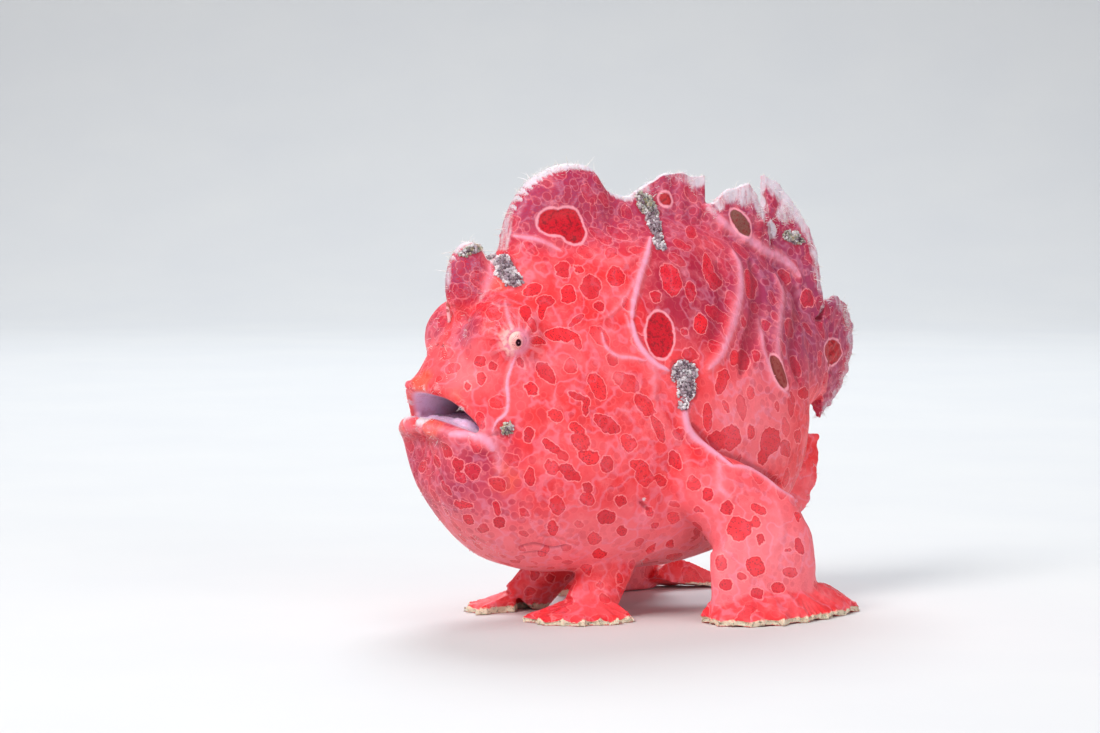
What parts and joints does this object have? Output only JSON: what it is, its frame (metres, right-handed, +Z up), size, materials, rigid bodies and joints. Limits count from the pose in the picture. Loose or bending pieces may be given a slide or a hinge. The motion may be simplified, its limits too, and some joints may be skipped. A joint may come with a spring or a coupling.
{
  "type": "frogfish model",
  "caption": "Still life-size frogfish model that stands on its hand-like fins with its mouth a little open and its tail curled up.",
  "frame": {"origin": "on the floor, under the middle of the whole fish's bounding box", "axes": "-X towards the snout, +X towards the tail, -Y towards the fish's left side, +Z up from the floor it stands on"},
  "size_m": [0.1486, 0.1016, 0.1208],
  "materials": {
    "skin": "painted soft skin, satin, coral red with darker spots",
    "fins": "painted soft fin skin, satin, coral red with pale edges",
    "mouth": "moist, pale pink",
    "eyes": "polished, pale iris round a dark pupil"
  },
  "bodies": {
    "root": {"head": "skin", "lower_jaw": "skin", "trunk": "skin", "tail_stalk": "skin", "second_dorsal_spine": "skin", "third_dorsal_spine": "skin", "left_arm": "skin", "right_arm": "skin", "left_hand": "fins", "right_hand": "fins", "left_pelvic_fin": "fins", "right_pelvic_fin": "fins", "dorsal_fin": "fins", "caudal_fin": "fins", "anal_fin": "fins", "illicium": "fins", "tongue": "mouth", "left_eye": "eyes", "right_eye": "eyes"}
  },
  "joints": []
}
